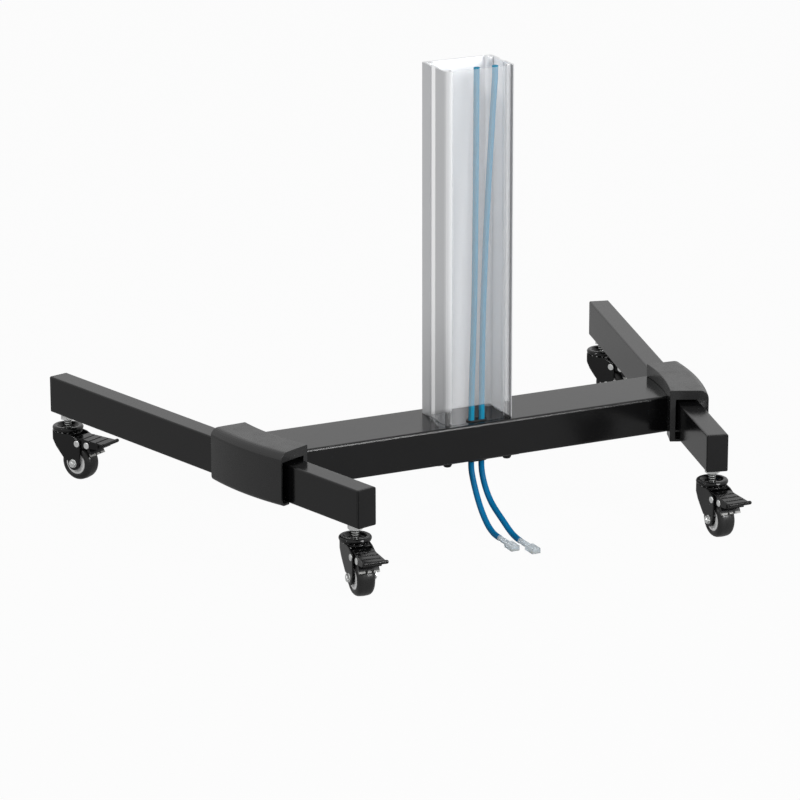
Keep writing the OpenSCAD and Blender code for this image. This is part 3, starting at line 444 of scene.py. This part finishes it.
# Painted highlight: the groove floor is painted near white, standing in for the lamp's highlight along it
GROOVE_HIGHLIGHT_COLOR = (0.96, 0.965, 0.97)
GROOVE_NORMAL = (-0.84, -0.38, 0.38)
DRAWN_SCALE = 5000
DRAWN_STRETCH = (1, 1, 0.002)


def column_metal():
    """Satin anodised extrusion, with a painted highlight in the groove of each side.

    Its front wall is see-through, as the photograph shows it. So is the lowest part of its walls,
    where the crossbeam's top shows inside it.
    """
    paint = Paint("column_silver", (0.8, 0.81, 0.825), 0.42, metallic=0.3)
    paint.round_edges(0.0006)
    paint.gloss(paint.noise(DRAWN_SCALE, 2, stretch=DRAWN_STRETCH), 0.03)
    paint.bump(paint.noise(DRAWN_SCALE, 2, stretch=DRAWN_STRETCH), 0.000004, 0.15)
    x, y, z = paint.split()
    from_mid = paint.calc("SUBTRACT", x, BASE.x)
    to_left = paint.calc("MULTIPLY", from_mid, -1.0)
    in_left = paint.fade(to_left, COLUMN_HALF_W - LEFT_CORNER, LEFT_FADE)

    slope_x = paint.calc("MULTIPLY", paint.calc("SUBTRACT", from_mid, COLUMN_INNER.x), -FOOT_SLOPE_X)
    back = COLUMN_MID_Y + COLUMN_INNER.y
    slope_y = paint.calc("MULTIPLY", paint.calc("SUBTRACT", y, back), -FOOT_SLOPE_Y)
    height = paint.calc("SUBTRACT", z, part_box("column")[0].z)
    rise = paint.calc("SUBTRACT", height, paint.calc("MINIMUM", slope_x, slope_y))

    behind = paint.fade(y, COLUMN_FRONT + LEFT_CORNER, FRONT_FADE)
    in_right = paint.fade(from_mid, COLUMN_HALF_W - RIGHT_CORNER, RIGHT_FADE)
    front = paint.span(rise, FOOT_FADE, (FOOT_ALPHA, FRONT_ALPHA))
    walls = paint.pick(paint.calc("MAXIMUM", behind, in_right), front, 1.0)
    left_wall = paint.span(rise, LEFT_FOOT_FADE, (LEFT_FOOT_ALPHA, 1))
    paint.link(paint.pick(in_left, walls, left_wall), paint.shader.inputs["Alpha"])

    at_side = paint.calc("GREATER_THAN", paint.calc("ABSOLUTE", from_mid), COLUMN_HALF_W - GROOVE_DEEP)
    in_groove = paint.calc("MULTIPLY", at_side, paint.within(y, GROOVE_Y, GROOVE_HALF))
    # Mask of the inner faces, which get the painted light colour
    inside = paint.calc(
        "MULTIPLY",
        paint.calc("LESS_THAN", paint.calc("ABSOLUTE", from_mid), COLUMN_INNER.x + INNER_MARGIN),
        paint.within(y, COLUMN_MID_Y, COLUMN_INNER.y + INNER_MARGIN),
    )
    outer = paint.varied(paint.noise(6, 2), 0.015)
    shaded = paint.node("ShaderNodeVectorMath")
    shaded.operation = "SCALE"
    # The grooves take the painted highlight colour and the inner faces the paler painted-light colour
    colour = paint.blend(in_groove, paint.blend(inside, outer, INNER_PAINTED_LIGHT_COLOR), GROOVE_HIGHLIGHT_COLOR)
    paint.link(colour, shaded.inputs[0])
    # Painted shade on the left wall, darker towards its foot
    foot_shade = paint.span(rise, FOOT_SHADE_RISE, (FOOT_SHADE, 1))
    paint.link(paint.pick(in_left, 1.0, foot_shade), shaded.inputs["Scale"])
    paint.link(shaded.outputs["Vector"], paint.shader.inputs["Base Color"])

    normal = paint.tree.nodes.new("ShaderNodeMix")
    normal.data_type = "VECTOR"
    left_groove = paint.calc("MULTIPLY", in_groove, paint.calc("LESS_THAN", from_mid))
    paint.link(left_groove, normal.inputs["Factor"])
    paint.link(paint.shader.inputs["Normal"].links[0].from_socket, normal.inputs[4])
    normal.inputs[5].default_value = GROOVE_NORMAL
    paint.link(normal.outputs[1], paint.shader.inputs["Normal"])
    return paint.material


def rim_plastic():
    paint = Paint("rim_grey", (0.97, 0.97, 0.96), 0.3, specular=0.5)
    paint.round_edges(0.0003)
    paint.vary(paint.noise(90, 3), 0.06)
    paint.gloss(paint.noise(200, 3), 0.05)
    paint.bump(paint.noise(1200, 2), 0.00005, 0.3)
    return paint.material


SHOE_PALE = (0.3, 0.3, 0.29)
SHOE_TEETH = 0.2
SHOE_FADE = 0.0004


def shoe_plastic():
    """Black plastic with a paler row of teeth at its foot."""
    paint = Paint("shoe_plastic", (0.013, 0.013, 0.014), 0.4, specular=0.3)
    paint.round_edges(0.0004)
    low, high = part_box("brake_shoe_front_left")
    teeth_top = low.z + (high.z - low.z) * SHOE_TEETH
    teeth = paint.span(paint.split()[2], (teeth_top - SHOE_FADE, teeth_top + SHOE_FADE), (1, 0))
    body = paint.varied(paint.noise(60, 3), 0.15)
    paint.link(paint.blend(teeth, body, SHOE_PALE), paint.shader.inputs["Base Color"])
    paint.gloss(paint.noise(60, 3), 0.05)
    paint.bump(paint.noise(2200, 2), 0.00012, 0.4)
    return paint.material


CONTACTS = 8
CONTACT_PITCH = 0.0013
CONTACT_SIZE = (0.005, 0.00035, 0.0012)
CONTACT_EDGE = 0.0001
CONTACT_Z = 0.0011
# From a tail's end to the middle of its plug's contacts
CONTACT_AT = 0.0415


def add_block(mesh, place, size, edge):
    """A block with small bevels, of the given size about its place."""
    made = bmesh.ops.create_cube(mesh, size=1, matrix=place @ Matrix.Diagonal((*size, 1)))
    edges = list({e for v in made["verts"] for e in v.link_edges})
    bmesh.ops.bevel(mesh, geom=edges, offset=edge, segments=2, affect="EDGES")


def make_contacts():
    """Gold contact blades in the nose of each plug."""
    gold = zinc("contact_gold", (0.83, 0.6, 0.2), 0.2)
    for side, points in (("left", TAIL_LEFT), ("right", TAIL_RIGHT)):
        end, before = in_frame(points)[-1], in_frame(points)[-2]
        way = Vector((end.x - before.x, end.y - before.y, 0)).normalized()
        across = Vector((-way.y, way.x, 0))
        mesh = bmesh.new()
        turn = Matrix.Rotation(math.atan2(way.y, way.x), 4, "Z")
        for k in range(CONTACTS):
            at = end + way * CONTACT_AT + across * (k - (CONTACTS - 1) / 2) * CONTACT_PITCH
            at.z = CONTACT_Z
            add_block(mesh, Matrix.Translation(at) @ turn, CONTACT_SIZE, CONTACT_EDGE)
        piece = mesh_piece(f"plug_contacts_{side}", mesh)
        piece.data.materials.append(gold)
        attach(piece, "base")


# A spring's box: along the caster's trail from the swivel's axis, across it, and up from the floor
SPRING_MIN = Vector((0.0108, -0.01392, 0.0585))
SPRING_MAX = Vector((0.0205, 0.01392, 0.06))
SPRING_EDGE = 0.0003


def make_spring(corner, material):
    """The leaf spring of a brake, under the fork's crown, between its cheeks."""
    at = {joint["name"]: Vector(joint["pos_m"]) for joint in frame["joints"]}
    swivel = at[f"swivel_turn_{corner}"]
    trail = at[f"wheel_spin_{corner}"] - swivel
    turn = Matrix.Rotation(math.atan2(trail.y, trail.x), 4, "Z")
    below = Matrix.Translation((swivel.x, swivel.y, 0))
    middle = Matrix.Translation((SPRING_MIN + SPRING_MAX) / 2)
    mesh = bmesh.new()
    add_block(mesh, below @ turn @ middle, SPRING_MAX - SPRING_MIN, SPRING_EDGE)
    piece = mesh_piece(f"brake_spring_{corner}", mesh)
    piece.data.materials.append(material)
    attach(piece, f"swivel_{corner}")


def dress():
    """One material for each node of the frame."""
    frame_paint = powder_coat("frame_paint", (0.0045, 0.0045, 0.0048))
    plate_paint = powder_coat("plate_paint", (0.0045, 0.0045, 0.0045))
    steel = zinc("zinc_steel", (0.82, 0.83, 0.82), 0.33)
    weld = zinc("weld_steel", (0.3, 0.3, 0.3), 0.45)
    cap = moulded("cap_plastic", (0.011, 0.011, 0.0113), 0.38)
    cover = moulded("cover_plastic", (0.014, 0.014, 0.0143), 0.26, specular=0.5, edge=0.0012)
    coat = gloss_coat("caster_black", (0.004, 0.004, 0.0043), 0.13, specular=0.36, edge=0.0024)
    pedal = gloss_coat("pedal_black", (0.004, 0.004, 0.0043), 0.14, specular=0.3, edge=0.0011)
    look = {
        "crossbeam": frame_paint, "leg_left": frame_paint, "leg_right": frame_paint,
        "beam_end_plates": weld, "leg_end_caps": cap, "leg_bolts": steel,
        "joint_cover_left": cover, "joint_cover_right": cover, "column": column_metal(),
        "foot_plate": plate_paint, "column_bolts": moulded("black_bolt", (0.01, 0.01, 0.01), 0.35),
        "caster_stems": threaded_zinc("stem_zinc", (0.5, 0.51, 0.5)), "stem_nuts": steel,
        "swivel_caps": coat,
        "swivel_balls": zinc("ball_steel", (0.75, 0.75, 0.75), 0.12),
    }
    grommet = moulded("grommet_rubber", (0.012, 0.012, 0.012), 0.6)
    look["cable_grommet_top"] = look["cable_grommet_bottom"] = grommet
    jacket = cable_jacket("cable_blue", (0.0005, 0.135, 0.31))
    # Painted light: the risers inside the column are a paler copy of the cable blue, against the shade
    # inside it
    riser = cable_jacket("riser_blue_painted_light", (0.0005, 0.25, 0.42))
    look["cable_riser_left"] = look["cable_riser_right"] = riser
    plug = clear_plug()
    look["cable_plug_left"] = look["cable_plug_right"] = plug
    wheel = {
        "fork": coat, "axle": steel, "hub": moulded("hub_plastic", (0.012, 0.012, 0.012), 0.35),
        "rim": rim_plastic(), "tyre": tyre_rubber(), "pedal": pedal,
        "brake_shoe": shoe_plastic(),
        "pedal_pin": steel, "shoe_rivet": steel,
    }
    for corner in CORNERS:
        make_spring(corner, coat)
        for piece, material in wheel.items():
            look[f"{piece}_{corner}"] = material
    for name, material in look.items():
        data = nodes[name].data
        data.materials.clear()
        data.materials.append(material)
    for cable in cables:
        cable.data.materials.append(jacket)


dress()
make_contacts()

# Stage

# The world's light goes from one level at the left to another at the right
LEFT_LEVEL = 0.62
RIGHT_LEVEL = 0.35
LEVEL_FROM_X = -0.6
LEVEL_TO_X = 0.8
FLOOR_HALF = 40
FLOOR_COLOR = (0.28, 0.28, 0.28)
FLOOR_SHOWN = 0.965
FLOOR_MIRRORED = 0.3
LAMP_AIM = Vector((0, 0, 0.2))
LAMPS = {
    "key": {"at": (-2.8, -0.4, 2.1), "size": (0.6, 0.5), "power": 26},
    "fill": {"at": (1.05, -2.85, 1.5), "size": (1.1, 0.8), "power": 80},
}


def seen_ray(tree, mirrored=1.0):
    """1 for rays that show the background from the camera or through glass, and mirrored in reflections."""
    path = tree.nodes.new("ShaderNodeLightPath")
    glossy = combine(tree, "MULTIPLY", path.outputs["Is Glossy Ray"], mirrored)
    seen = combine(tree, "MAXIMUM", path.outputs["Is Camera Ray"], glossy)
    return combine(tree, "MAXIMUM", seen, path.outputs["Is Transmission Ray"])


def make_floor():
    data = bpy.data.meshes.new("floor")
    corners = [(FLOOR_HALF * x, FLOOR_HALF * y, 0) for x, y in ((-1, -1), (1, -1), (1, 1), (-1, 1))]
    data.from_pydata(corners, [], [(0, 1, 2, 3)])
    floor = bpy.data.objects.new("floor", data)
    bpy.context.scene.collection.objects.link(floor)
    material = bpy.data.materials.new("floor")
    material.use_nodes = True
    tree = material.node_tree
    tree.nodes.clear()
    paper = tree.nodes.new("ShaderNodeBsdfDiffuse")
    paper.inputs["Color"].default_value = (*FLOOR_COLOR, 1)
    white = tree.nodes.new("ShaderNodeEmission")
    white.inputs["Strength"].default_value = 1
    share = combine(tree, "MULTIPLY", seen_ray(tree, FLOOR_MIRRORED), FLOOR_SHOWN)
    mix = tree.nodes.new("ShaderNodeMixShader")
    tree.links.new(share, mix.inputs["Fac"])
    tree.links.new(paper.outputs[0], mix.inputs[1])
    tree.links.new(white.outputs[0], mix.inputs[2])
    out = tree.nodes.new("ShaderNodeOutputMaterial")
    tree.links.new(mix.outputs[0], out.inputs["Surface"])
    data.materials.append(material)


def make_world():
    world = bpy.data.worlds.new("studio")
    bpy.context.scene.world = world
    world.use_nodes = True
    tree = world.node_tree
    tree.nodes.clear()
    soft = tree.nodes.new("ShaderNodeBackground")
    way = tree.nodes.new("ShaderNodeTexCoord")
    parts = tree.nodes.new("ShaderNodeSeparateXYZ")
    tree.links.new(way.outputs["Generated"], parts.inputs["Vector"])
    level = tree.nodes.new("ShaderNodeMapRange")
    level.interpolation_type = "SMOOTHSTEP"
    level.inputs["From Min"].default_value = LEVEL_FROM_X
    level.inputs["From Max"].default_value = LEVEL_TO_X
    level.inputs["To Min"].default_value = LEFT_LEVEL
    level.inputs["To Max"].default_value = RIGHT_LEVEL
    tree.links.new(parts.outputs["X"], level.inputs["Value"])
    tree.links.new(level.outputs["Result"], soft.inputs["Strength"])
    white = tree.nodes.new("ShaderNodeBackground")
    white.inputs["Strength"].default_value = 1
    mix = tree.nodes.new("ShaderNodeMixShader")
    tree.links.new(seen_ray(tree), mix.inputs["Fac"])
    tree.links.new(soft.outputs[0], mix.inputs[1])
    tree.links.new(white.outputs[0], mix.inputs[2])
    out = tree.nodes.new("ShaderNodeOutputWorld")
    tree.links.new(mix.outputs[0], out.inputs["Surface"])


def area_light(name, at, size, power):
    data = bpy.data.lights.new(name, "AREA")
    data.shape = "RECTANGLE"
    data.size, data.size_y = size
    data.energy = power
    lamp = bpy.data.objects.new(name, data)
    lamp.location = at
    lamp.rotation_euler = (LAMP_AIM - Vector(at)).to_track_quat("-Z", "Y").to_euler()
    bpy.context.scene.collection.objects.link(lamp)


make_floor()
make_world()
for lamp_name, facts in LAMPS.items():
    area_light(lamp_name, **facts)
bpy.context.scene.view_settings.view_transform = "Standard"
bpy.context.view_layer.update()
